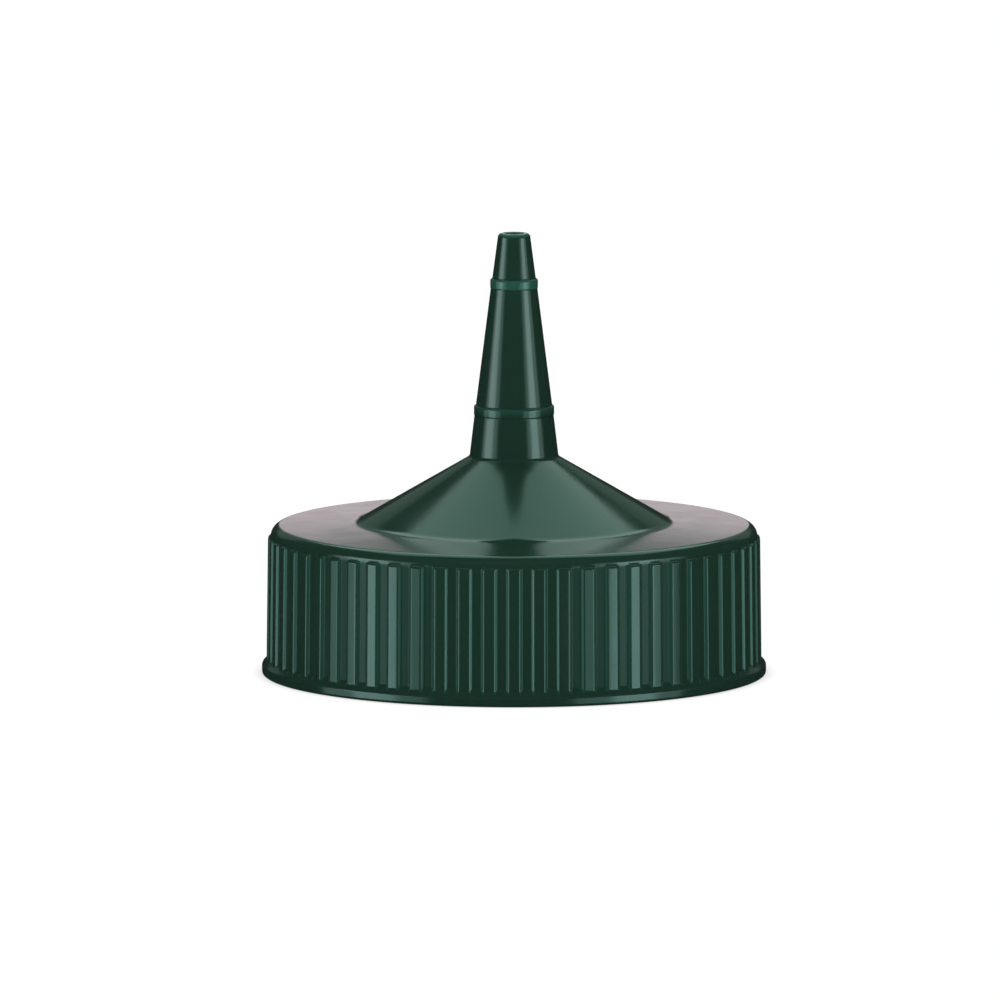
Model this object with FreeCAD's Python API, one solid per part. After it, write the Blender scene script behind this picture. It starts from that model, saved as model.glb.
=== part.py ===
import FreeCAD, Part

import math
import os

# Squeeze bottle cap: a one-piece moulding with a ribbed skirt, a flat deck, a cone and a
# tapered nozzle, hollow all through. It stands on its open rim, centred on the Z axis,
# with the nozzle up. All sizes are in millimetres and degrees.

# The bottle neck that the cap screws on: a wide mouth finish of the 53 mm size
NECK_THREAD_DIAMETER = 52.5
NECK_CLEARANCE = 0.25
NECK_LIP_WALL = 1.35

# Skirt
SKIRT_WALL = 1.77
SKIRT_HEIGHT = 17.1
SKIRT_DRAFT = 0.65
SHOULDER_RADIUS = 1.25
LEAD_IN_DEPTH = 2.4
LEAD_IN_STEP = 0.4

# Bead round the rim
BEAD_PROUD = 0.85
BEAD_HEIGHT = 1.05
BEAD_FLARE = 0.85
RIM_BEVEL = 0.2

# Grip ribs
RIB_COUNT = 62
RIB_CREST_WIDTH = 1.2
RIB_HEIGHT = 0.32
RIB_FLANK_TAPER = 45.0
RIB_END_BEVEL = 0.25
RIB_TOP_GAP = 1.3
RIB_BITE = 0.5

# Deck between the shoulder and the cone
DECK_WIDTH = 9.9
DECK_RISE = 0.45
DECK_THICKNESS = 1.5

# Cone
CONE_HEIGHT = 7.6
CONE_WALL = 1.5

# Nozzle, with two raised marks where it can be cut for a wider outlet
NOZZLE_FOOT_DIAMETER = 10.26
NOZZLE_LENGTH = 25.85
NOZZLE_WALL = 1.3
TIP_DIAMETER = 3.64
TIP_BEVEL = 0.25
OUTLET_DIAMETER = 1.9
OUTLET_LENGTH = 2.5
LOWER_MARK_DIAMETER = 9.25
LOWER_MARK_RISE = 4.8
LOWER_MARK_PROUD = 0.22
UPPER_MARK_DIAMETER = 5.5
UPPER_MARK_RISE = 19.5
UPPER_MARK_PROUD = 0.24
MARK_BAND = 1.1

# Internal thread: one start, right hand
THREAD_PITCH = 4.23
THREAD_TURNS = 1.5
THREAD_START = 3.7
THREAD_HEIGHT = 1.2
THREAD_CREST_BAND = 1.1
THREAD_FLANK_ANGLE = 27.0
THREAD_STEP = 15.0
THREAD_RUN_OUT = 45.0
THREAD_BITE = 0.5
THREAD_TRIM = 0.15

# Sealing lip under the deck, which presses into the mouth of the bottle
SEAL_DEPTH = 1.6
SEAL_WALL = 0.9

# Sizes that follow from the ones above
bore_r = NECK_THREAD_DIAMETER / 2 + NECK_CLEARANCE
crest_r = bore_r - THREAD_HEIGHT
seal_r = crest_r - NECK_CLEARANCE - NECK_LIP_WALL
skirt_r = bore_r + SKIRT_WALL
shoulder_r = skirt_r - SKIRT_HEIGHT * math.tan(math.radians(SKIRT_DRAFT))
bead_r = skirt_r + BEAD_PROUD
flare_top = BEAD_HEIGHT + BEAD_FLARE

cone_foot_r = shoulder_r - DECK_WIDTH
cone_foot_z = SKIRT_HEIGHT + DECK_RISE
nozzle_foot_r = NOZZLE_FOOT_DIAMETER / 2
nozzle_foot_z = cone_foot_z + CONE_HEIGHT
tip_z = nozzle_foot_z + NOZZLE_LENGTH
under_z = SKIRT_HEIGHT - DECK_THICKNESS


def at(radius, height):
    """Point in the XZ plane, where the outlines are drawn."""
    return FreeCAD.Vector(radius, 0, height)


def round_edges(corner, first, last):
    """The round that joins two points on the sides of a corner, drawn as two arcs."""
    half_chord = (last - first) / 2
    chord_middle = first + half_chord
    inward = chord_middle - corner
    to_centre = inward * (half_chord.Length / inward.Length) ** 2
    centre = chord_middle + to_centre
    radius = centre.distanceToPoint(first)
    middle = centre - inward.normalize() * radius
    edges = []
    for start, end in ((first, middle), (middle, last)):
        on_arc = centre + ((start + end) / 2 - centre).normalize() * radius
        edges.append(Part.Arc(start, on_arc, end).toShape())
    return edges


def rounded_outline(corners):
    """Closed wire through (radius, height, corner radius) triples, its corners rounded."""
    points = [at(radius, height) for radius, height, corner_round in corners]
    edges, ends = [], []
    for i, corner in enumerate(points):
        before = points[i - 1] - corner
        after = points[(i + 1) % len(points)] - corner
        reach = corners[i][2] / math.tan(before.getAngle(after) / 2)
        reach = min(reach, 0.45 * before.Length, 0.45 * after.Length)
        first = corner + before.normalize() * reach
        last = corner + after.normalize() * reach
        ends.append((first, last))
        if reach > 0:
            edges.extend(round_edges(corner, first, last))
    for i, (first, last) in enumerate(ends):
        edges.append(Part.LineSegment(last, ends[(i + 1) % len(ends)][0]).toShape())
    return Part.Wire(Part.__sortEdges__(edges))


def mark_corners(diameter, rise, proud):
    """A mark's band: straight sides and a ledge on top."""
    band_r = diameter / 2
    top = nozzle_foot_z + rise + MARK_BAND
    return [
        (band_r, top - MARK_BAND, 0),
        (band_r, top, 0),
        (band_r - proud, top, 0),
    ]


def outer_corners():
    """Outside of the cap, from the rim up to the tip."""
    corners = [
        (bead_r - RIM_BEVEL, 0, 0),
        (bead_r, RIM_BEVEL, 0),
        (bead_r, BEAD_HEIGHT, 0),
        (skirt_r, flare_top, 0),
        (shoulder_r, SKIRT_HEIGHT, SHOULDER_RADIUS),
        (cone_foot_r, cone_foot_z, 0),
        (nozzle_foot_r, nozzle_foot_z, 0),
    ]
    corners += mark_corners(LOWER_MARK_DIAMETER, LOWER_MARK_RISE, LOWER_MARK_PROUD)
    corners += mark_corners(UPPER_MARK_DIAMETER, UPPER_MARK_RISE, UPPER_MARK_PROUD)
    corners.append((TIP_DIAMETER / 2, tip_z - TIP_BEVEL, 0))
    corners.append((TIP_DIAMETER / 2 - TIP_BEVEL, tip_z, 0))
    return corners


def inner_corners():
    """Inside of the cap, from the outlet down to the rim."""
    outlet_r = OUTLET_DIAMETER / 2
    hollow_r = nozzle_foot_r - NOZZLE_WALL
    cone_run = (cone_foot_r - nozzle_foot_r) / CONE_HEIGHT
    wall_drop = CONE_WALL * math.hypot(1, cone_run) / cone_run
    hollow_z = nozzle_foot_z + NOZZLE_WALL / cone_run - wall_drop
    under_r = hollow_r + (hollow_z - under_z) * cone_run
    seal_z = under_z - SEAL_DEPTH
    return [
        (outlet_r, tip_z, 0),
        (outlet_r, tip_z - OUTLET_LENGTH, 0),
        (hollow_r, hollow_z, 0),
        (under_r, under_z, 0),
        (seal_r - SEAL_WALL, under_z, 0),
        (seal_r - SEAL_WALL, seal_z, 0),
        (seal_r, seal_z, 0),
        (seal_r, under_z, 0),
        (bore_r, under_z, 0),
        (bore_r, LEAD_IN_DEPTH, 0),
        (bore_r + LEAD_IN_STEP, LEAD_IN_DEPTH - LEAD_IN_STEP, 0),
        (bore_r + LEAD_IN_STEP, 0, 0),
    ]


def turned_body():
    """The moulding without its ribs and thread."""
    section = Part.Face(rounded_outline(outer_corners() + inner_corners()))
    return section.revolve(at(0, 0), FreeCAD.Vector(0, 0, 1), 360)


def grip_rib():
    """One rib on the +X side: tapered flanks, from inside the flare to its bevelled top."""
    lean = math.tan(math.radians(SKIRT_DRAFT))
    foot, top = BEAD_HEIGHT, SKIRT_HEIGHT - RIB_TOP_GAP
    root = skirt_r - foot * lean
    crest_half = RIB_CREST_WIDTH / 2
    foot_half = crest_half + RIB_HEIGHT * math.tan(math.radians(RIB_FLANK_TAPER))
    one_side = [(root - RIB_BITE, foot_half), (root, foot_half), (root + RIB_HEIGHT, crest_half)]
    outline = one_side + [(out, -aside) for out, aside in reversed(one_side)]
    points = [FreeCAD.Vector(out, aside, foot) for out, aside in outline]
    section = Part.Face(Part.makePolygon(points + points[:1]))
    rib = section.extrude(FreeCAD.Vector(-(top - foot) * lean, 0, top - foot))
    return rib.cut(bevel_cutter(skirt_r - top * lean + RIB_HEIGHT, top, foot_half))


def bevel_cutter(crest, top, half_width):
    """A wedge that takes the bevel off the upper end of a rib's crest."""
    reach = RIB_END_BEVEL * 2
    wedge = Part.Face(rounded_outline([
        (crest - reach, top + reach - RIB_END_BEVEL, 0),
        (crest + reach - RIB_END_BEVEL, top - reach, 0),
        (crest + reach, top + reach, 0),
    ]))
    wedge.translate(FreeCAD.Vector(0, -half_width, 0))
    return wedge.extrude(FreeCAD.Vector(0, 2 * half_width, 0))


def thread_section(turn):
    """Cross-section of the thread ridge at an angle from its start, low at both ends."""
    whole = THREAD_TURNS * 360
    fade = min(1, turn / THREAD_RUN_OUT, (whole - turn) / THREAD_RUN_OUT)
    slope = math.tan(math.radians(THREAD_FLANK_ANGLE))
    outer = bore_r + THREAD_BITE
    low = bore_r + THREAD_BITE / 2
    inner = low + (crest_r - THREAD_TRIM - low) * fade
    crest_half = THREAD_CREST_BAND / 2 - THREAD_TRIM * slope
    outer_half = THREAD_CREST_BAND / 2 + (outer - crest_r) * slope
    middle = THREAD_START + THREAD_PITCH * turn / 360
    points = [
        at(outer, middle - outer_half),
        at(inner, middle - crest_half),
        at(inner, middle + crest_half),
        at(outer, middle + outer_half),
    ]
    section = Part.makePolygon(points + points[:1])
    section.rotate(at(0, 0), FreeCAD.Vector(0, 0, 1), turn)
    return section


def thread_ridge():
    """Short stretches of the thread, their crests trimmed to the size of the neck."""
    core = Part.makeCylinder(crest_r, SKIRT_HEIGHT)
    steps = round(THREAD_TURNS * 360 / THREAD_STEP)
    sections = [thread_section(i * THREAD_STEP) for i in range(steps + 1)]
    lengths = []
    for first, last in zip(sections, sections[1:]):
        lengths.append(Part.makeLoft([first, last], True, True).cut(core))
    return lengths


def cap():
    """The whole moulding as one solid."""
    rib = grip_rib()
    ribs = []
    for i in range(RIB_COUNT):
        copy = rib.copy()
        copy.rotate(at(0, 0), FreeCAD.Vector(0, 0, 1), i * 360 / RIB_COUNT - 90)
        ribs.append(copy)
    return turned_body().fuse(ribs).fuse(thread_ridge())


os.makedirs("parts", exist_ok=True)
shape = cap()
solid = shape.Solids[0]
solid.exportStep("parts/cap.step")
box = solid.optimalBoundingBox()
print(f"cap: {len(shape.Solids)} solid, valid {solid.isValid()}, volume {solid.Volume:.1f} mm3")
print(f"box: {box.XLength:.2f} x {box.YLength:.2f} x {box.ZLength:.2f} mm")
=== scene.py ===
import logging
import math
from collections.abc import Sequence
from dataclasses import dataclass, field
from enum import Enum
from itertools import pairwise

import bmesh
import bpy
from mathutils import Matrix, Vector


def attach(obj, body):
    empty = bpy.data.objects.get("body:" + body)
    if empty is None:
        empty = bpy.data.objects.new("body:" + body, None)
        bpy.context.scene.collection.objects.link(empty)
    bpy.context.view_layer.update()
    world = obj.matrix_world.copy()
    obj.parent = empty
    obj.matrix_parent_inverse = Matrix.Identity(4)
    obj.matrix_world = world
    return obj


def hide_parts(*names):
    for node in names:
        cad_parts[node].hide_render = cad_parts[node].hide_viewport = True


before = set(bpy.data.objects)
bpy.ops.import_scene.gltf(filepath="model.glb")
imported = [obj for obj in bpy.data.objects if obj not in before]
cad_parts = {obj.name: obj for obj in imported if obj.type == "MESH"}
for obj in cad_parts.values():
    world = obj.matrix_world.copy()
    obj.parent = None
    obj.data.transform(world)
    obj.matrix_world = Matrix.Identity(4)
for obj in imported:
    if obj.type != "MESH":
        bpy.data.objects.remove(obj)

log = logging.getLogger("squeeze_bottle_cap")

MM = 0.001
FULL_TURN = 2 * math.pi
FRONT = -math.pi / 2
CLOSE_BY = 0.12  # millimetres from a round to the point that keeps a flat stretch flat
# Vertex attribute for painted shade: how far down between the ribs a vertex lies, which weakens the
# reflection there.
PAINTED_VALLEY_SHADE = "painted_valley_shade"
# Vertex attribute for painted light: a lighter base colour on the rib flanks, the nozzle's marks
# and the tip.
PAINTED_GLOW = "edge"

Point = tuple[float, float]
Face = tuple[int, ...]


class Columns(Enum):
    """How closely the vertices of a ring stand, per pitch of the grip ribs."""

    RIBBED = 0
    CLOSE = 4
    WIDE = 2


@dataclass(frozen=True)
class Bend:
    """A corner of the moulding's section, in millimetres.

    Args:
        radius: Distance from the axis.
        height: Height over the rim.
        round: Radius of the corner's round, 0 for a plain corner.
        steps: Number of facets in the round.
    """

    radius: float
    height: float
    round: float = 0.0
    steps: int = 3


@dataclass(frozen=True)
class Ring:
    """One ring of vertices round the axis, in millimetres.

    Args:
        radius: Distance from the axis where no rib stands.
        height: Height over the rim where no rib stands.
        columns: How closely its vertices stand.
        out: How much farther out it runs over the crest of a rib.
        up: How much higher it runs over the crest of a rib.
        edge: Share of painted light there, a lighter base colour for light that shines through the
            plastic.
    """

    radius: float
    height: float
    columns: Columns
    out: float = 0.0
    up: float = 0.0
    edge: float = 0.0


def between(first: Point, last: Point, share: float) -> Point:
    """The point at a share of the way from the first to the last."""
    return (
        first[0] + (last[0] - first[0]) * share,
        first[1] + (last[1] - first[1]) * share,
    )


def towards(first: Point, last: Point, distance: float) -> Point:
    """The point at a distance from the first, on the way to the last."""
    return between(first, last, distance / math.dist(first, last))


def round_points(
    before: Point, corner: Point, after: Point, radius: float, steps: int
) -> list[Point]:
    """Points of the round that replaces a corner.

    Args:
        before: A point on the side that leads to the corner.
        corner: The corner itself.
        after: A point on the side that leaves it.
        radius: Radius of the round.
        steps: Number of facets in it.

    Returns:
        The points from the first side to the second, both ends included.
    """
    into = math.atan2(corner[1] - before[1], corner[0] - before[0])
    out_of = math.atan2(after[1] - corner[1], after[0] - corner[0])
    turn = math.remainder(out_of - into, FULL_TURN)
    reach = radius * math.tan(abs(turn) / 2)
    start = towards(corner, before, reach)
    side = math.copysign(1, turn)
    centre = (start[0] - side * radius * math.sin(into), start[1] + side * radius * math.cos(into))
    points = []
    for i in range(steps + 1):
        angle = into + turn * i / steps
        points.append((
            centre[0] + side * radius * math.sin(angle),
            centre[1] - side * radius * math.cos(angle),
        ))
    return points


def rounded_path(bends: Sequence[Bend], support: float = CLOSE_BY) -> list[Point]:
    """Points along an open path, its inner corners rounded.

    A point close beside each round keeps the smooth shading of the long flat stretches
    between them flat.

    Args:
        bends: Corners of the path. The first and the last are its ends.
        support: Distance of those points from the rounds, in millimetres.

    Returns:
        The points from the first end to the last.
    """
    corners = [(bend.radius, bend.height) for bend in bends]
    arcs: list[list[Point]] = [[corners[0]]]
    for i in range(1, len(bends) - 1):
        bend = bends[i]
        if bend.round > 0:
            before, corner, after = corners[i - 1:i + 2]
            arcs.append(round_points(before, corner, after, bend.round, bend.steps))
        else:
            arcs.append([corners[i]])
    arcs.append([corners[-1]])
    shortest_flat, most_of_flat = 0.2, 0.3
    points = list(arcs[0])
    for first, last in pairwise(arcs):
        start, end = first[-1], last[0]
        length = math.dist(start, end)
        near = min(support, most_of_flat * length)
        if length > shortest_flat:
            points.append(towards(start, end, near))
            points.append(towards(end, start, near))
        points.extend(last)
    return points


@dataclass
class GripRibs:
    """The ribs round the skirt: their number and the shape of one, in millimetres.

    Args:
        count: Number of ribs.
        height: How far a crest stands off the wall.
        crest_half: Half the width of the crest.
        foot_half: Half the width at the wall.
        crest_round: Radius of the edges of the crest.
        foot_round: Radius where the flanks meet the wall.
        top: Height of the upper ends over the rim.
        end_round: Radius of the upper ends.
        end_turns: Degrees round the end at which its rings stand.
        end_fade: Rises over the top and what is left of the rib there.
        flank_painted_glow: Share of painted light, a lighter base colour, in the middle of a flank.
    """

    count: int = 62
    height: float = 0.32
    crest_half: float = 0.6
    foot_half: float = 0.92
    crest_round: float = 0.28
    foot_round: float = 0.3
    top: float = 15.8
    end_round: float = 0.3
    end_turns: tuple[int, ...] = (0, 22, 44, 64, 82)
    end_fade: tuple[Point, ...] = ((0.005, 0.045), (0.02, 0.015), (0.05, 0.0))
    flank_painted_glow: float = 0.45

    @property
    def pitch(self) -> float:
        """Angle from one rib to the next."""
        return FULL_TURN / self.count

    def profile(self, radius: float) -> list[Point]:
        """Cross-section of one rib and the bare strips beside it.

        Args:
            radius: Distance of the wall from the axis, in millimetres.

        Returns:
            Pairs of an angle from the middle of the rib and a share of its height.
        """
        middle, crest = (0.0, self.height), (self.crest_half, self.height)
        foot, edge = (self.foot_half, 0.0), (self.pitch * radius / 2, 0.0)
        crest_arc = round_points(middle, crest, foot, self.crest_round, 5)
        foot_arc = round_points(crest, foot, edge, self.foot_round, 4)
        half = [middle, towards(crest_arc[0], middle, CLOSE_BY), *crest_arc]
        half += [*foot_arc, towards(foot_arc[-1], edge, 0.1), edge]
        one_side = [(along / radius, lift / self.height) for along, lift in half]
        other_side = [(-angle, share) for angle, share in reversed(one_side[1:])]
        return other_side + one_side

    def light(self, share: float) -> float:
        """Share of painted light, a lighter base colour, where the rib has a share of its height.
        """
        return 4 * self.flank_painted_glow * share * (1 - share)

    def end_rings(self, wall: "SkirtWall") -> list[Ring]:
        """Rings over the rounded upper ends of the ribs."""
        rings = []
        arc_foot = self.top - self.end_round
        for degrees in self.end_turns:
            turn = math.radians(degrees)
            height = arc_foot + self.end_round * math.sin(turn)
            lift = self.height - self.end_round * (1 - math.cos(turn))
            rings.append(Ring(wall.radius(height), height, Columns.RIBBED, out=lift))
        for rise, lift in self.end_fade:
            height = self.top + rise
            rings.append(Ring(wall.radius(height), height, Columns.RIBBED, out=lift))
        return rings


@dataclass
class SkirtWall:
    """The drafted outer wall between the ribs, in millimetres."""

    foot_radius: float = 28.27
    foot_height: float = 1.9
    top_radius: float = 28.076
    top_height: float = 17.1

    def radius(self, height: float) -> float:
        """Distance of the wall from the axis at a height."""
        share = (height - self.foot_height) / (self.top_height - self.foot_height)
        return self.foot_radius + (self.top_radius - self.foot_radius) * share


@dataclass
class NeckThread:
    """The internal thread, one start and right hand, in millimetres and turns.

    Args:
        wall_radius: Radius of the wall between the turns.
        height: How far the ridge stands off the wall.
        pitch: Rise of one turn.
        turns: Length of the ridge.
        start: Height of its lower end.
        run_out: Turns over which each end fades.
        end_width: Share of its width that the ridge keeps at its ends.
        crest_half: Half the width of the crest.
        flank: Slope of its sides, in radians.
        crest_round: Radius of the edges of the crest.
        foot_round: Radius where the sides meet the wall.
        margin: Width of the strip of wall that goes with the ridge.
        low_edge: Height of the wall's lower edge.
        high_edge: Height of its upper edge.
    """

    wall_radius: float = 26.5
    height: float = 1.2
    pitch: float = 4.23
    turns: float = 1.5
    start: float = 3.7
    run_out: float = 0.125
    end_width: float = 0.7
    crest_half: float = 0.55
    flank: float = math.radians(27)
    crest_round: float = 0.25
    foot_round: float = 0.25
    margin: float = 0.3
    low_edge: float = 2.6
    high_edge: float = 15.3

    def profile(self) -> list[Point]:
        """Cross-section of the ridge as pairs of a rise from its middle and a height."""
        foot_half = self.crest_half + self.height * math.tan(self.flank)
        crest, foot = (self.crest_half, self.height), (foot_half, 0.0)
        half = [(0.0, self.height), (self.crest_half - self.crest_round, self.height)]
        half += round_points(half[0], crest, foot, self.crest_round, 3)
        half += round_points(crest, foot, (foot_half + 1, 0.0), self.foot_round, 3)
        half.append((foot_half + self.margin, 0.0))
        return [(-rise, height) for rise, height in reversed(half[1:])] + half

    def strength(self, turn: float) -> float:
        """Share of its full height that the ridge has at a turn from its start."""
        fade = min(turn / self.run_out, (self.turns - turn) / self.run_out)
        share = max(0.0, min(1.0, fade))
        return share * share * (3 - 2 * share)

    def wall(self, columns: int) -> tuple[list[Vector], list[Face]]:
        """The whole bore with its ridge, open at its upper and lower edge.

        Args:
            columns: Number of vertices round the bore.

        Returns:
            The vertices in metres, and faces that look at the axis.
        """
        profile = self.profile()
        vertices: list[Vector] = []
        chains: list[list[int]] = []
        for column in range(columns):
            share = column / columns
            outline = [(self.wall_radius, self.low_edge)]
            for turn in (share, share + 1):
                middle = self.start + self.pitch * turn
                full = self.strength(turn)
                spread = self.end_width + (1 - self.end_width) * full
                outline += [
                    (self.wall_radius - height * full, middle + rise * spread)
                    for rise, height in profile
                ]
            outline.append((self.wall_radius, self.high_edge))
            angle = FULL_TURN * share
            first = len(vertices)
            vertices += [
                Vector((radius * math.cos(angle), radius * math.sin(angle), height)) * MM
                for radius, height in outline
            ]
            chains.append(list(range(first, len(vertices))))
        faces: list[Face] = []
        rises = [vertex.z for vertex in vertices]
        for left, right in pairwise(chains):
            faces += zipped(left, right, rises)
        return vertices, faces + self.seam(chains[-1], chains[0], rises)

    def seam(self, left: list[int], right: list[int], rises: list[float]) -> list[Face]:
        """Faces that join the last column to the first, where each lap meets the next.

        Args:
            left: Vertices of the last column.
            right: Vertices of the first column.
            rises: Heights of all vertices.

        Returns:
            Faces that look at the axis.
        """
        lap = (len(left) - 2) // 2
        first_left, second_right = left[1:1 + lap], right[1 + lap:1 + 2 * lap]
        below = zipped([left[0], first_left[0]], [*right[:1 + lap], second_right[0]], rises)
        above = zipped([first_left[-1], *left[1 + lap:]], [second_right[-1], right[-1]], rises)
        return below + zipped(first_left, second_right, rises) + above


def zipped(first: list[int], second: list[int], along: Sequence[float]) -> list[Face]:
    """Faces between two chains of vertices that start and end side by side.

    Args:
        first: Vertices of the one chain.
        second: Vertices of the other chain.
        along: How far along its chain each vertex of the mesh stands.

    Returns:
        Quads where the chains have the same length, and triangles elsewhere.
    """
    if len(first) == len(second):
        return [
            (first[i], first[i + 1], second[i + 1], second[i])
            for i in range(len(first) - 1)
        ]
    faces: list[Face] = []
    i = j = 0
    while i < len(first) - 1 or j < len(second) - 1:
        take_first = j == len(second) - 1 or (
            i < len(first) - 1
            and along[first[i]] + along[first[i + 1]] <= along[second[j]] + along[second[j + 1]]
        )
        if take_first:
            faces.append((first[i], first[i + 1], second[j]))
            i += 1
        else:
            faces.append((first[i], second[j + 1], second[j]))
            j += 1
    return faces


@dataclass
class Moulding:
    """The one-piece cap: its section and what repeats round it, in millimetres.

    Args:
        ribs: The grip ribs.
        skirt: The wall that carries them.
        thread: The thread in the bore.
        bead_radius: Radius of the bead round the rim.
        bead_height: Height of the bead.
        flare_round: Radius where the bead's flare meets the wall.
        lead_in: Radius and height of the wider stretch of the bore at the rim.
        lead_in_top: Height at which the bore has its full width.
        skirt_levels: Heights of the rings of the ribbed wall.
        shoulder_round: Radius of the shoulder.
        cone_foot: Radius and height of the foot of the cone.
        cone_top: Radius and height where the nozzle stands on it.
        lower_mark: Radius and height of the top of the lower mark.
        upper_mark: The same of the upper mark.
        lower_ledge: Width of the ledge on the lower mark.
        upper_ledge: The same of the upper mark.
        mark_band: Height of a mark.
        mark_step: Width and height of the slope under a mark.
        tip: Radius and height of the tip.
        outlet_radius: Radius of the outlet.
        outlet_foot: Height at which the hollow begins to widen.
        hollow_neck: Radius and height of the hollow at the foot of the nozzle.
        hollow_foot: Radius and height of its lower end.
        seal_inside: Inner radius of the sealing lip.
        seal_outside: Outer radius of the sealing lip.
        seal_low: Height of its lower edge.
        seal_bevel: Width of the bevel on its outer edge.
        upper_painted_glow: Share of painted light, a lighter base colour, on the upper mark.
        lower_painted_glow: The same on the top edge of the lower mark.
        tip_painted_glow: The same on the tip.
        painted_glow_band: Height of the edge of the lower mark that gets painted light.
        tip_painted_glow_band: Height of the part of the tip that gets painted light.
        weld: Distance within which vertices of two pitches are joined.
    """

    ribs: GripRibs = field(default_factory=GripRibs)
    skirt: SkirtWall = field(default_factory=SkirtWall)
    thread: NeckThread = field(default_factory=NeckThread)
    bead_radius: float = 29.12
    bead_height: float = 1.05
    flare_round: float = 0.3
    lead_in: Point = (26.9, 2.0)
    lead_in_top: float = 2.4
    skirt_levels: tuple[float, ...] = (2.45, 5.0, 8.5, 12.0, 15.0, 15.45)
    shoulder_round: float = 1.25
    cone_foot: Point = (18.176, 17.55)
    cone_top: Point = (5.13, 25.15)
    lower_mark: Point = (4.625, 31.05)
    upper_mark: Point = (2.75, 45.75)
    lower_ledge: float = 0.22
    upper_ledge: float = 0.24
    mark_band: float = 1.1
    mark_step: float = 0.06
    tip: Point = (1.82, 51.0)
    outlet_radius: float = 0.95
    outlet_foot: float = 48.5
    hollow_neck: Point = (3.83, 24.17)
    hollow_foot: Point = (18.54, 15.6)
    seal_inside: float = 22.8
    seal_outside: float = 23.7
    seal_low: float = 14.0
    seal_bevel: float = 0.3
    upper_painted_glow: float = 0.65
    lower_painted_glow: float = 0.3
    tip_painted_glow: float = 0.6
    painted_glow_band: float = 0.35
    tip_painted_glow_band: float = 0.3
    weld: float = 0.002

    def rim_rings(self) -> list[Ring]:
        """Rings from the threaded wall round the rim and the bead to the foot of the ribs."""
        top_of_flare = (self.skirt.foot_radius, self.skirt.foot_height)
        path = rounded_path([
            Bend(self.thread.wall_radius, self.thread.low_edge),
            Bend(self.thread.wall_radius, self.lead_in_top, 0.1),
            Bend(*self.lead_in, 0.1),
            Bend(self.lead_in[0], 0.0, 0.15),
            Bend(self.bead_radius, 0.0, 0.25, 4),
            Bend(self.bead_radius, self.bead_height, 0.35, 4),
            Bend(*top_of_flare),
        ])[:-2]
        rings = [Ring(*point, Columns.CLOSE) for point in path]
        flare = (self.bead_radius, self.bead_height)
        wall_above = (self.skirt.radius(6.0), 6.0)
        lift = self.ribs.height
        flare_arc = round_points(flare, top_of_flare, wall_above, self.flare_round, 4)
        rings += [Ring(*point, Columns.RIBBED, out=lift, up=-lift) for point in flare_arc]
        return rings

    def skirt_rings(self) -> list[Ring]:
        """Rings of the ribbed wall, up to the rounded ends of the ribs."""
        rings = [
            Ring(self.skirt.radius(height), height, Columns.RIBBED, out=self.ribs.height)
            for height in self.skirt_levels
        ]
        return rings + self.ribs.end_rings(self.skirt)

    def top_rings(self) -> list[Ring]:
        """Rings of the shoulder, the deck, the cone and the nozzle, to the tip."""
        shoulder = (self.skirt.top_radius, self.skirt.top_height)
        below = (self.skirt.radius(10.0), 10.0)
        arc = round_points(below, shoulder, self.cone_foot, self.shoulder_round, 10)
        rings = [Ring(*point, Columns.CLOSE) for point in arc[1:]]
        deck = rounded_path([
            Bend(*arc[-1]),
            Bend(*self.cone_foot, 2.6, 6),
            Bend(*self.cone_top),
        ])[1:-1]
        outer, inner = deck[0], deck[1]
        rings += [Ring(*between(outer, inner, i / 4), Columns.CLOSE) for i in range(4)]
        rings += [Ring(*point, Columns.CLOSE) for point in deck[1:-1]]
        cone_start = deck[-2]
        spacing = ((0.25, Columns.CLOSE), (0.5, Columns.WIDE), (0.75, Columns.WIDE))
        rings += [
            Ring(*between(cone_start, self.cone_top, share), columns)
            for share, columns in spacing
        ]
        return rings + self.nozzle_rings()

    def nozzle_rings(self) -> list[Ring]:
        """Rings of the nozzle with its two marks, from the top of the cone."""
        path = rounded_path([
            Bend(*between(self.cone_foot, self.cone_top, 0.9)),
            Bend(*self.cone_top, 0.5, 6),
            *self.mark_bends(self.lower_mark, self.lower_ledge, 0.2),
            *self.mark_bends(self.upper_mark, self.upper_ledge, 0.22),
            Bend(*self.tip, 0.45, 6),
            Bend(self.outlet_radius, self.tip[1], 0.3, 4),
            Bend(self.outlet_radius, self.tip[1] - 1.0),
        ], support=0.1)
        # Painted light: the marks and the tip get a lighter base colour for light that shines
        # through them.
        return [Ring(*point, Columns.WIDE, edge=self.painted_glow_share(point[1])) for point in path]

    def mark_bends(self, top: Point, ledge: float, top_round: float) -> list[Bend]:
        """Corners of one mark, from its foot to the ledge on it.

        Args:
            top: Radius and height of its upper edge.
            ledge: Width of the ledge.
            top_round: Radius of the upper edge.

        Returns:
            The corners, from below.
        """
        radius, height = top
        foot = height - self.mark_band
        return [
            Bend(radius - self.mark_step, foot, 0.08, 2),
            Bend(radius, foot + self.mark_step, 0.08, 2),
            Bend(*top, top_round, 5),
            Bend(radius - ledge, height, 0.08, 3),
        ]

    def painted_glow_share(self, height: float) -> float:
        """Share of painted light, a lighter base colour, on the nozzle's marks and its tip at a
        height.
        """
        if self.upper_mark[1] - self.mark_band <= height <= self.upper_mark[1]:
            return self.upper_painted_glow
        if self.lower_mark[1] - self.painted_glow_band <= height <= self.lower_mark[1]:
            return self.lower_painted_glow
        return self.tip_painted_glow if height > self.tip[1] - self.tip_painted_glow_band else 0.0

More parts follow.
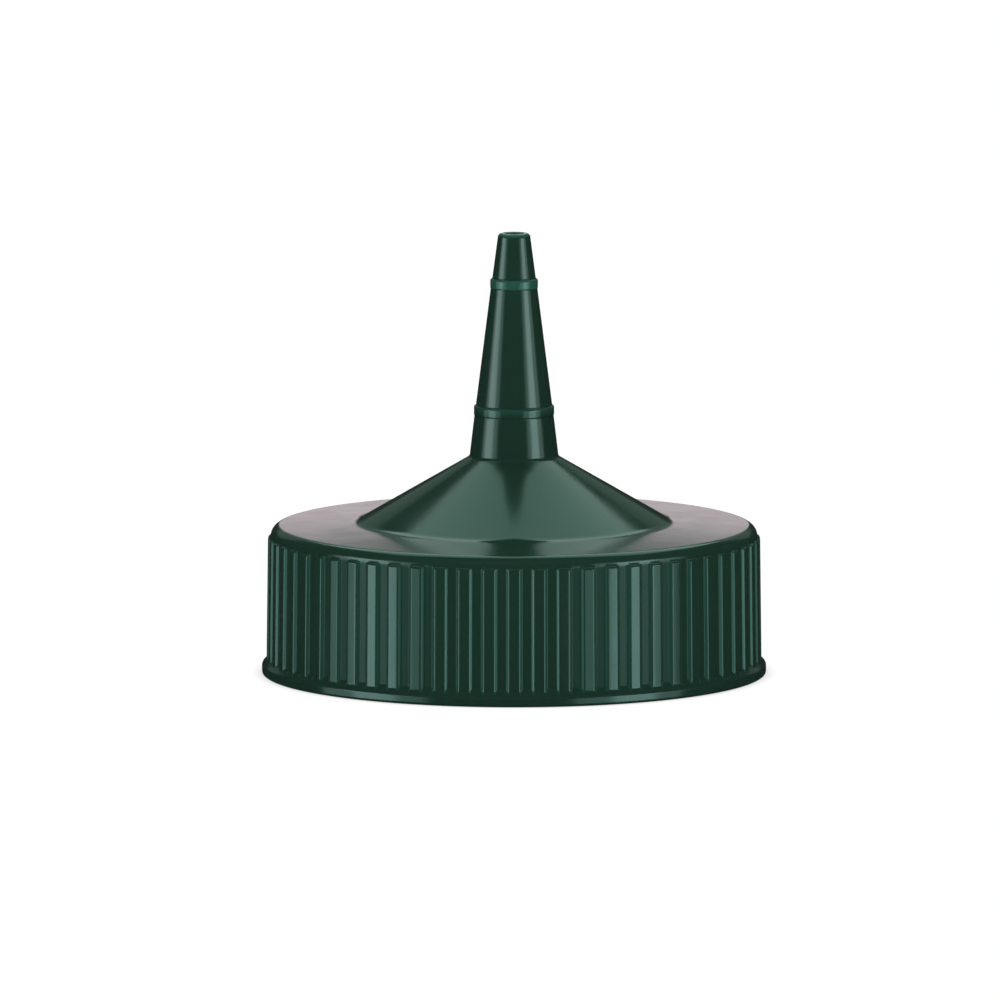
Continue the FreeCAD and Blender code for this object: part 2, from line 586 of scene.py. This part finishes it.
    def inner_rings(self) -> list[Ring]:
        """Rings of the inside, from the outlet down to the top edge of the threaded wall."""
        bore = self.thread.wall_radius
        under = self.hollow_foot[1]
        path = rounded_path([
            Bend(self.outlet_radius, self.tip[1] - 1.0),
            Bend(self.outlet_radius, self.outlet_foot, 0.2),
            Bend(*self.hollow_neck, 0.6),
            Bend(*self.hollow_foot, 0.4),
            Bend(self.seal_inside, under, 0.2),
            Bend(self.seal_inside, self.seal_low, 0.1),
            Bend(self.seal_outside - self.seal_bevel, self.seal_low, 0.1),
            Bend(self.seal_outside, self.seal_low + self.seal_bevel, 0.1),
            Bend(self.seal_outside, under, 0.2),
            Bend(bore, under, 0.15, 4),
            Bend(bore, self.thread.high_edge),
        ])[1:-3]
        rings = [Ring(*point, Columns.WIDE) for point in path]
        rings.append(Ring(bore, self.thread.high_edge, Columns.CLOSE))
        return rings

    def columns(self, ring: Ring) -> list[Point]:
        """Angle and share of the rib's height at each vertex of a ring's one pitch."""
        if ring.columns is Columns.RIBBED:
            return self.ribs.profile(self.skirt.foot_radius)
        steps = ring.columns.value
        return [(self.ribs.pitch * (i / steps - 0.5), 0.0) for i in range(steps + 1)]

    def one_pitch(self) -> tuple[list[Vector], list[Face], dict[str, list[float]]]:
        """One pitch of the moulding, centred on the rib at the front, without the bore.

        Returns:
            The vertices in metres, faces that look outwards, and two numbers from 0 to 1
            for each vertex: how far down between the ribs it lies, which sets the painted shade
            in the valleys, and the share of painted light, a lighter base colour, there.
        """
        rings = self.rim_rings() + self.skirt_rings() + self.top_rings() + self.inner_rings()
        vertices: list[Vector] = []
        angles: list[float] = []
        values: dict[str, list[float]] = {PAINTED_VALLEY_SHADE: [], PAINTED_GLOW: []}
        chains: list[list[int]] = []
        for ring in rings:
            columns = self.columns(ring)
            first = len(vertices)
            for angle, share in columns:
                radius = ring.radius + ring.out * share
                vertices.append(Vector((
                    radius * math.cos(FRONT + angle),
                    radius * math.sin(FRONT + angle),
                    ring.height + ring.up * share,
                )) * MM)
            angles += [angle for angle, _ in columns]
            ribbed = ring.out / self.ribs.height
            # Painted shade down between the ribs and painted light on the flanks and the marks,
            # both read by the finish.
            values[PAINTED_VALLEY_SHADE] += [(1 - share) * ribbed for _, share in columns]
            values[PAINTED_GLOW] += [ring.edge + self.ribs.light(share) * ribbed for _, share in columns]
            chains.append(list(range(first, len(vertices))))
        faces: list[Face] = []
        for lower, upper in pairwise(chains):
            faces += zipped(lower, upper, angles)
        return vertices, faces, values

    def build(self, finish: bpy.types.Material) -> bpy.types.Object:
        """The finished moulding as one closed mesh.

        Args:
            finish: Material of the whole moulding.

        Returns:
            The object, at the origin, which replaces the CAD node.
        """
        vertices, faces, values = self.one_pitch()
        pitch = mesh_object("one_pitch", vertices, faces)
        for name, numbers in values.items():
            pitch.data.attributes.new(name, "FLOAT", "POINT").data.foreach_set("value", numbers)
        columns = self.ribs.count * Columns.CLOSE.value
        bore = mesh_object("threaded_bore", *self.thread.wall(columns))
        pattern = pitch.modifiers.new("Ring of ribs", "NODES")
        pattern.node_group = ring_tree()
        set_inputs(pattern, {
            "Ribs": self.ribs.count,
            "Bore": bore,
            "Weld": self.weld * MM,
            "Finish": finish,
        })
        moulding = made_real(pitch, "cap_moulding")
        bpy.data.objects.remove(bore)
        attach(moulding, "root")
        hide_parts("cap")
        return moulding


def mesh_object(name: str, vertices: list[Vector], faces: list[Face]) -> bpy.types.Object:
    """A new object with a mesh of these vertices and faces, linked to the scene."""
    mesh = bpy.data.meshes.new(name)
    mesh.from_pydata(vertices, [], faces)
    mesh.update()
    made = bpy.data.objects.new(name, mesh)
    bpy.context.scene.collection.objects.link(made)
    return made


def ring_tree() -> bpy.types.NodeTree:
    """Geometry Nodes that repeat one pitch round the axis and weld it to the bore.

    Returns:
        The tree, with the inputs Geometry, Ribs, Bore, Weld and Finish.
    """
    tree = bpy.data.node_groups.new("Ring of ribs", "GeometryNodeTree")
    sockets = tree.interface
    sockets.new_socket("Geometry", in_out="INPUT", socket_type="NodeSocketGeometry")
    sockets.new_socket("Ribs", in_out="INPUT", socket_type="NodeSocketInt")
    sockets.new_socket("Bore", in_out="INPUT", socket_type="NodeSocketObject")
    sockets.new_socket("Weld", in_out="INPUT", socket_type="NodeSocketFloat")
    sockets.new_socket("Finish", in_out="INPUT", socket_type="NodeSocketMaterial")
    sockets.new_socket("Geometry", in_out="OUTPUT", socket_type="NodeSocketGeometry")

    def add(kind: str) -> bpy.types.Node:
        """A new node of a kind in the tree."""
        return tree.nodes.new(kind)

    given, result = add("NodeGroupInput"), add("NodeGroupOutput")
    places, index = add("GeometryNodeMeshLine"), add("GeometryNodeInputIndex")
    step, angle = add("ShaderNodeMath"), add("ShaderNodeMath")
    turn, copies = add("ShaderNodeCombineXYZ"), add("GeometryNodeInstanceOnPoints")
    bore, both = add("GeometryNodeObjectInfo"), add("GeometryNodeJoinGeometry")
    real, weld = add("GeometryNodeRealizeInstances"), add("GeometryNodeMergeByDistance")
    smooth, dress = add("GeometryNodeSetShadeSmooth"), add("GeometryNodeSetMaterial")
    places.inputs["Offset"].default_value = (0, 0, 0)
    step.operation, angle.operation = "DIVIDE", "MULTIPLY"
    step.inputs[0].default_value = FULL_TURN
    for start, end in (
        (given.outputs["Ribs"], places.inputs["Count"]),
        (given.outputs["Ribs"], step.inputs[1]),
        (step.outputs[0], angle.inputs[0]),
        (index.outputs["Index"], angle.inputs[1]),
        (angle.outputs[0], turn.inputs["Z"]),
        (places.outputs["Mesh"], copies.inputs["Points"]),
        (given.outputs["Geometry"], copies.inputs["Instance"]),
        (turn.outputs["Vector"], copies.inputs["Rotation"]),
        (given.outputs["Bore"], bore.inputs["Object"]),
        (copies.outputs["Instances"], both.inputs["Geometry"]),
        (bore.outputs["Geometry"], both.inputs["Geometry"]),
        (both.outputs["Geometry"], real.inputs["Geometry"]),
        (real.outputs["Geometry"], weld.inputs["Geometry"]),
        (given.outputs["Weld"], weld.inputs["Distance"]),
        (weld.outputs["Geometry"], smooth.inputs["Geometry"]),
        (smooth.outputs["Geometry"], dress.inputs["Geometry"]),
        (given.outputs["Finish"], dress.inputs["Material"]),
        (dress.outputs["Geometry"], result.inputs["Geometry"]),
    ):
        tree.links.new(start, end)
    return tree


def set_inputs(modifier: bpy.types.NodesModifier, values: dict[str, object]) -> None:
    """Sets a Geometry Nodes modifier's inputs, found by name, through their identifiers."""
    for item in modifier.node_group.interface.items_tree:
        if item.item_type == "SOCKET" and item.in_out == "INPUT" and item.name in values:
            modifier[item.identifier] = values[item.name]


def made_real(source: bpy.types.Object, name: str) -> bpy.types.Object:
    """Turns an object with live modifiers into a plain mesh object.

    Args:
        source: The object, which is removed.
        name: Name of the new object.

    Returns:
        The new object, at the origin and without modifiers.
    """
    depsgraph = bpy.context.evaluated_depsgraph_get()
    mesh = bpy.data.meshes.new_from_object(source.evaluated_get(depsgraph))
    mesh.name = name
    made = bpy.data.objects.new(name, mesh)
    bpy.context.scene.collection.objects.link(made)
    source.modifiers.clear()
    bpy.data.objects.remove(source)
    return made


def open_edges(piece: bpy.types.Object) -> int:
    """Number of edges of a mesh that don't lie between exactly two faces."""
    form = bmesh.new()
    form.from_mesh(piece.data)
    count = sum(1 for edge in form.edges if not edge.is_manifold)
    form.free()
    return count


@dataclass(frozen=True)
class GlossPlastic:
    """Dark green moulded plastic with a soft gloss.

    Args:
        color: Main colour, linear.
        shade: Colour of the slightly darker clouds in it, linear.
        edge: Lighter colour painted where light shines through a thin edge, a painted glow, linear.
        gleam: Tint of what it reflects straight back, linear.
        roughness: Least and most roughness over the surface.
        shine_with_painted_valley_shade: Strength of the reflection on the ribs, and the lower
            strength in the valleys between them that paints shade there.
        waviness: Depth of the broad unevenness that a mould leaves, in metres.
        grain: Depth of the fine grain, in metres.
        cloud_scale: Clouds of colour in a metre.
        sheen_scale: Patches of roughness in a metre.
        wave_scale: Waves of the broad unevenness in a metre.
        grain_scale: Grains in a metre.
    """

    color: tuple[float, float, float] = (0.015, 0.055, 0.035)
    shade: tuple[float, float, float] = (0.013, 0.048, 0.030)
    edge: tuple[float, float, float] = (0.03, 0.16, 0.11)
    gleam: tuple[float, float, float] = (0.5, 1.0, 0.82)
    roughness: tuple[float, float] = (0.13, 0.18)
    shine_with_painted_valley_shade: tuple[float, float] = (0.5, 0.12)
    waviness: float = 0.00002
    grain: float = 0.000003
    cloud_scale: float = 90
    sheen_scale: float = 260
    wave_scale: float = 110
    grain_scale: float = 2600

    def material(self) -> bpy.types.Material:
        """The finish as a new node material on Object coordinates."""
        made = bpy.data.materials.new("green_plastic")
        made.use_nodes = True
        tree = made.node_tree
        shader = tree.nodes["Principled BSDF"]
        shader.inputs["IOR"].default_value = 1.5
        shader.inputs["Specular Tint"].default_value = (*self.gleam, 1)
        place = tree.nodes.new("ShaderNodeTexCoord")

        def noise(scale: float, detail: float) -> bpy.types.NodeSocket:
            """A noise pattern's value, with its features a share of a metre apart."""
            node = tree.nodes.new("ShaderNodeTexNoise")
            node.inputs["Scale"].default_value = scale
            node.inputs["Detail"].default_value = detail
            tree.links.new(place.outputs["Object"], node.inputs["Vector"])
            return node.outputs["Fac"]

        clouds = tree.nodes.new("ShaderNodeMix")
        clouds.data_type = "RGBA"
        clouds.inputs["A"].default_value = (*self.color, 1)
        clouds.inputs["B"].default_value = (*self.shade, 1)
        tree.links.new(noise(self.cloud_scale, 3), clouds.inputs["Factor"])
        # Painted light: the base colour turns towards the lighter edge colour where the edge
        # attribute is high.
        edge, lit = tree.nodes.new("ShaderNodeAttribute"), tree.nodes.new("ShaderNodeMix")
        edge.attribute_name = PAINTED_GLOW
        lit.data_type = "RGBA"
        lit.inputs["B"].default_value = (*self.edge, 1)
        tree.links.new(edge.outputs["Fac"], lit.inputs["Factor"])
        tree.links.new(clouds.outputs["Result"], lit.inputs["A"])
        tree.links.new(lit.outputs["Result"], shader.inputs["Base Color"])

        sheen = tree.nodes.new("ShaderNodeMapRange")
        sheen.inputs["From Min"].default_value = 0.3
        sheen.inputs["From Max"].default_value = 0.7
        sheen.inputs["To Min"].default_value = self.roughness[0]
        sheen.inputs["To Max"].default_value = self.roughness[1]
        tree.links.new(noise(self.sheen_scale, 4), sheen.inputs["Value"])
        tree.links.new(sheen.outputs["Result"], shader.inputs["Roughness"])

        # Painted shade: the reflection is weaker down in the valleys between the ribs, standing in
        # for the shade that falls there.
        painted_valley_shade = tree.nodes.new("ShaderNodeAttribute")
        valley_shade_level = tree.nodes.new("ShaderNodeMapRange")
        painted_valley_shade.attribute_name = PAINTED_VALLEY_SHADE
        valley_shade_level.inputs["To Min"].default_value = self.shine_with_painted_valley_shade[0]
        valley_shade_level.inputs["To Max"].default_value = self.shine_with_painted_valley_shade[1]
        tree.links.new(painted_valley_shade.outputs["Fac"], valley_shade_level.inputs["Value"])
        tree.links.new(valley_shade_level.outputs["Result"], shader.inputs["Specular IOR Level"])

        waves, grain = tree.nodes.new("ShaderNodeBump"), tree.nodes.new("ShaderNodeBump")
        waves.inputs["Distance"].default_value = self.waviness
        grain.inputs["Distance"].default_value = self.grain
        tree.links.new(noise(self.wave_scale, 2), waves.inputs["Height"])
        tree.links.new(noise(self.grain_scale, 3), grain.inputs["Height"])
        tree.links.new(waves.outputs["Normal"], grain.inputs["Normal"])
        tree.links.new(grain.outputs["Normal"], shader.inputs["Normal"])
        return made


@dataclass(frozen=True)
class Softbox:
    """A flat light that faces the cap or the floor and that the camera doesn't see.

    Args:
        name: Name of the light.
        centre: Middle of the lit face, in metres.
        facing: Point that the lit face looks at, in metres.
        width: Level width, in metres.
        height: Height or depth, in metres.
        radiance: Brightness of the face, where 1 is the white of the background.
        tint: Colour of the light.
        mirrored: Whether the gloss of the plastic shows it.
    """

    name: str
    centre: tuple[float, float, float]
    facing: tuple[float, float, float]
    width: float
    height: float
    radiance: float
    tint: tuple[float, float, float] = (1.0, 1.0, 1.0)
    mirrored: bool = True

    def place(self) -> bpy.types.Object:
        """Adds the light to the scene."""
        lamp = bpy.data.lights.new(self.name, "AREA")
        lamp.shape = "RECTANGLE"
        lamp.size, lamp.size_y = self.width, self.height
        lamp.energy = self.radiance * math.pi * self.width * self.height
        lamp.color = self.tint
        made = bpy.data.objects.new(self.name, lamp)
        bpy.context.scene.collection.objects.link(made)
        aim = Vector(self.facing) - Vector(self.centre)
        made.location = self.centre
        made.rotation_euler = aim.to_track_quat("-Z", "Y").to_euler()
        made.visible_camera = False
        made.visible_glossy = self.mirrored
        return made


def side_softbox(
    name: str,
    azimuth: float,
    spread: float,
    span: tuple[float, float],
    radiance: float,
    tint: tuple[float, float, float],
) -> Softbox:
    """An upright softbox that faces the axis of the cap.

    Args:
        name: Name of the light.
        azimuth: Degrees from the camera's side, positive to the right.
        spread: Degrees from its one edge to the other.
        span: Heights of its lower and upper edge, in metres.
        radiance: Brightness of its face.
        tint: Colour of the light.

    Returns:
        The softbox, 0.9 m from the axis.
    """
    distance = 0.9
    turn = math.radians(azimuth)
    middle = sum(span) / 2
    x, y = distance * math.sin(turn), -distance * math.cos(turn)
    width = 2 * distance * math.tan(math.radians(spread / 2))
    return Softbox(name, (x, y, middle), (0, 0, middle), width, span[1] - span[0], radiance, tint)


LOW_SPAN = (-0.22, 0.02)
HIGH_SPAN = (0.02, 0.2)
COOL_WHITE = (0.9, 0.93, 1.0)
PALE_PINK = (1.0, 0.86, 0.97)
PINK = (1.0, 0.8, 0.9)
DEEP_PINK = (1.0, 0.76, 0.88)
FILL_PINK = (1.0, 0.8, 0.88)


@dataclass
class Studio:
    """The white table and backdrop, the softboxes and the camera.

    Args:
        softboxes: All lights. Each side has a wide one and a brighter core, low and high.
        world_glow: Brightness of the surroundings for everything but the camera.
        table_half: Half the width of the table top, in metres.
        table_drop: How far it lies under the rim, in metres.
        contact_reach: Width of the shadow at the rim, in metres.
        contact_light: Brightness of the table top in that shadow and clear of it.
        camera_distance: From the camera to its target, in metres.
        camera_elevation: Angle of the camera above level.
        camera_target: Point that the camera looks at, in metres.
        lens: Focal length, in millimetres.
    """

    softboxes: tuple[Softbox, ...] = (
        side_softbox("left_low", -68, 56, LOW_SPAN, 1.5, COOL_WHITE),
        side_softbox("left_low_core", -66, 22, LOW_SPAN, 2.7, PALE_PINK),
        side_softbox("left_high", -70, 46, HIGH_SPAN, 1.9, PINK),
        side_softbox("left_high_core", -72, 24, HIGH_SPAN, 3.4, DEEP_PINK),
        side_softbox("right_low", 54, 54, LOW_SPAN, 1.5, COOL_WHITE),
        side_softbox("right_low_core", 56, 22, LOW_SPAN, 2.7, PALE_PINK),
        side_softbox("right_high", 61, 48, HIGH_SPAN, 1.9, PINK),
        side_softbox("right_high_core", 59, 22, HIGH_SPAN, 4.0, DEEP_PINK),
        Softbox("fill", (0, -0.7, 0.75), (0, 0, 0.02), 1.4, 0.6, 2.5, FILL_PINK, False),
        Softbox("fill_back", (0, 0.9, 0.55), (0, 0, 0.02), 1.4, 0.6, 2.2, FILL_PINK, False),
        Softbox(
            "overhead", (0.036, 0.80, 0.82), (0.036, 0.80, 0.0), 0.87, 1.3, 1.35, (0.8, 1.0, 0.94)
        ),
        Softbox(
            "backdrop_high", (0, 1.2, 0.47), (0, 0, 0.47), 1.5, 0.44, 0.17, (0.75, 1.0, 0.9)
        ),
        Softbox(
            "backdrop", (0, 1.2, 0.145), (0, 0, 0.145), 0.22, 0.21, 0.92, (1.0, 0.84, 0.9)
        ),
    )
    world_glow: float = 0.015
    table_half: float = 3.0
    table_drop: float = 0.00002
    contact_reach: float = 0.0015
    contact_light: tuple[float, float] = (0.55, 1.02)
    camera_distance: float = 1.74
    camera_elevation: float = math.radians(7.41)
    camera_target: tuple[float, float, float] = (-0.00162, 0.0, 0.02001)
    lens: float = 542.9

    def set_world(self) -> None:
        """White for the camera and a faint glow for everything else."""
        world = bpy.data.worlds.new("studio")
        bpy.context.scene.world = world
        world.use_nodes = True
        tree = world.node_tree
        glow = tree.nodes["Background"]
        glow.inputs["Color"].default_value = (1, 1, 1, 1)
        path, strength = tree.nodes.new("ShaderNodeLightPath"), tree.nodes.new("ShaderNodeMapRange")
        strength.inputs["To Min"].default_value = self.world_glow
        strength.inputs["To Max"].default_value = 1.0
        tree.links.new(path.outputs["Is Camera Ray"], strength.inputs["Value"])
        tree.links.new(strength.outputs["Result"], glow.inputs["Strength"])

    def table(self) -> bpy.types.Object:
        """The table top: white from above with a faint shadow at the rim, clear from below."""
        half, level = self.table_half, -self.table_drop
        outline = ((-half, -half), (half, -half), (half, half), (-half, half))
        top = mesh_object("table_top", [Vector((x, y, level)) for x, y in outline], [(0, 1, 2, 3)])
        finish = bpy.data.materials.new("white_table")
        finish.use_nodes = True
        tree = finish.node_tree
        paint, output = tree.nodes["Principled BSDF"], tree.nodes["Material Output"]
        paint.inputs["Base Color"].default_value = (0.8, 0.8, 0.8, 1)
        paint.inputs["Roughness"].default_value = 0.9
        paint.inputs["Specular IOR Level"].default_value = 0
        white, path = tree.nodes.new("ShaderNodeEmission"), tree.nodes.new("ShaderNodeLightPath")
        contact = tree.nodes.new("ShaderNodeAmbientOcclusion")
        shadow = tree.nodes.new("ShaderNodeMapRange")
        seen = tree.nodes.new("ShaderNodeMixShader")
        contact.inputs["Distance"].default_value = self.contact_reach
        contact.samples = 16
        shadow.inputs["To Min"].default_value = self.contact_light[0]
        shadow.inputs["To Max"].default_value = self.contact_light[1]
        tree.links.new(contact.outputs["AO"], shadow.inputs["Value"])
        tree.links.new(shadow.outputs["Result"], white.inputs["Strength"])
        tree.links.new(path.outputs["Is Camera Ray"], seen.inputs["Fac"])
        tree.links.new(paint.outputs["BSDF"], seen.inputs[1])
        tree.links.new(white.outputs["Emission"], seen.inputs[2])
        side = tree.nodes.new("ShaderNodeNewGeometry")
        clear = tree.nodes.new("ShaderNodeBsdfTransparent")
        one_sided = tree.nodes.new("ShaderNodeMixShader")
        tree.links.new(side.outputs["Backfacing"], one_sided.inputs["Fac"])
        tree.links.new(seen.outputs["Shader"], one_sided.inputs[1])
        tree.links.new(clear.outputs["BSDF"], one_sided.inputs[2])
        tree.links.new(one_sided.outputs["Shader"], output.inputs["Surface"])
        top.data.materials.append(finish)
        top.visible_glossy = False
        return top

    def camera(self) -> bpy.types.Object:
        """The camera, at the photograph's viewing angle."""
        lens = bpy.data.cameras.new("camera")
        lens.lens = self.lens
        lens.clip_start, lens.clip_end = 0.05, 10.0
        made = bpy.data.objects.new("camera", lens)
        bpy.context.scene.collection.objects.link(made)
        back = Vector((0, -math.cos(self.camera_elevation), math.sin(self.camera_elevation)))
        made.location = Vector(self.camera_target) + back * self.camera_distance
        made.rotation_euler = (-back).to_track_quat("-Z", "Y").to_euler()
        bpy.context.scene.camera = made
        return made

    def build(self) -> None:
        """Adds everything round the cap."""
        bpy.context.scene.view_settings.view_transform = "Standard"
        self.camera()
        self.set_world()
        self.table()
        for softbox in self.softboxes:
            softbox.place()


def main() -> None:
    """Builds the studio and the cap."""
    logging.basicConfig(level=logging.INFO, format="%(name)s: %(message)s")
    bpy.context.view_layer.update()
    Studio().build()
    moulding = Moulding().build(GlossPlastic().material())
    faces = len(moulding.data.polygons)
    log.info("%s: %d faces, %d open edges", moulding.name, faces, open_edges(moulding))


if __name__ == "__main__":
    main()
